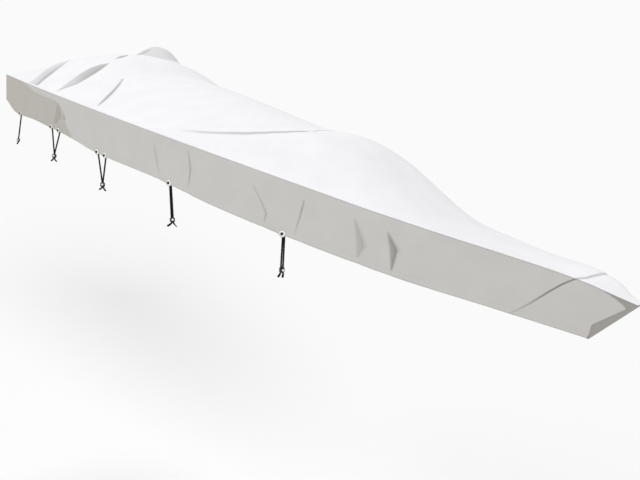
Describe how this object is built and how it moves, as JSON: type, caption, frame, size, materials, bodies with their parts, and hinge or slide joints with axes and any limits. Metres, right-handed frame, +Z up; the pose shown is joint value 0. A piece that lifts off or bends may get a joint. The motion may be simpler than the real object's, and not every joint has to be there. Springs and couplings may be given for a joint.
{
  "type": "boat cover",
  "caption": "Fitted cloth cover for a small open motor boat: domed white top, hanging grey skirt, dark bow band, and cord ties with stops through eyelets in the hem.",
  "frame": {"origin": "under the top panel, on the centreline at mid length, where the boat carries the cloth", "axes": "+X to the bow, +Y to port, +Z up"},
  "size_m": [5.0126, 1.97, 1.1421],
  "materials": {
    "top_cloth": "white coated woven polyester, matt with a soft sheen",
    "skirt_cloth": "warm grey coated woven polyester, matt",
    "band_cloth": "darker grey chafe cloth, matt",
    "eyelet": "white moulded, satin",
    "stop": "black moulded, fine grain",
    "button": "white moulded, satin",
    "cord": "black braided cord"
  },
  "bodies": {
    "root": {"cover_top": "top_cloth", "skirt_starboard": "skirt_cloth", "skirt_port": "skirt_cloth", "skirt_transom": "skirt_cloth", "bow_band": "band_cloth", "eyelet_s1": "eyelet", "eyelet_s2a": "eyelet", "eyelet_s2b": "eyelet", "eyelet_s3a": "eyelet", "eyelet_s3b": "eyelet", "eyelet_s4": "eyelet", "eyelet_s5": "eyelet", "eyelet_p1": "eyelet", "eyelet_p2a": "eyelet", "eyelet_p2b": "eyelet", "eyelet_p3a": "eyelet", "eyelet_p3b": "eyelet", "eyelet_p4": "eyelet", "eyelet_p5": "eyelet", "cord_s1": "cord", "cord_s2a": "cord", "cord_s2b": "cord", "cord_s3a": "cord", "cord_s3b": "cord", "cord_s4a": "cord", "cord_s4b": "cord", "cord_s5a": "cord", "cord_s5b": "cord", "cord_p1": "cord", "cord_p2a": "cord", "cord_p2b": "cord", "cord_p3a": "cord", "cord_p3b": "cord", "cord_p4a": "cord", "cord_p4b": "cord", "cord_p5a": "cord", "cord_p5b": "cord", "stop_s1": "stop", "stop_s2": "stop", "stop_s3": "stop", "stop_s4": "stop", "stop_s5": "stop", "stop_p1": "stop", "stop_p2": "stop", "stop_p3": "stop", "stop_p4": "stop", "stop_p5": "stop", "button_s1": "button", "button_s2": "button", "button_s3": "button", "button_s4": "button", "button_s5": "button", "button_p1": "button", "button_p2": "button", "button_p3": "button", "button_p4": "button", "button_p5": "button"}
  },
  "joints": []
}
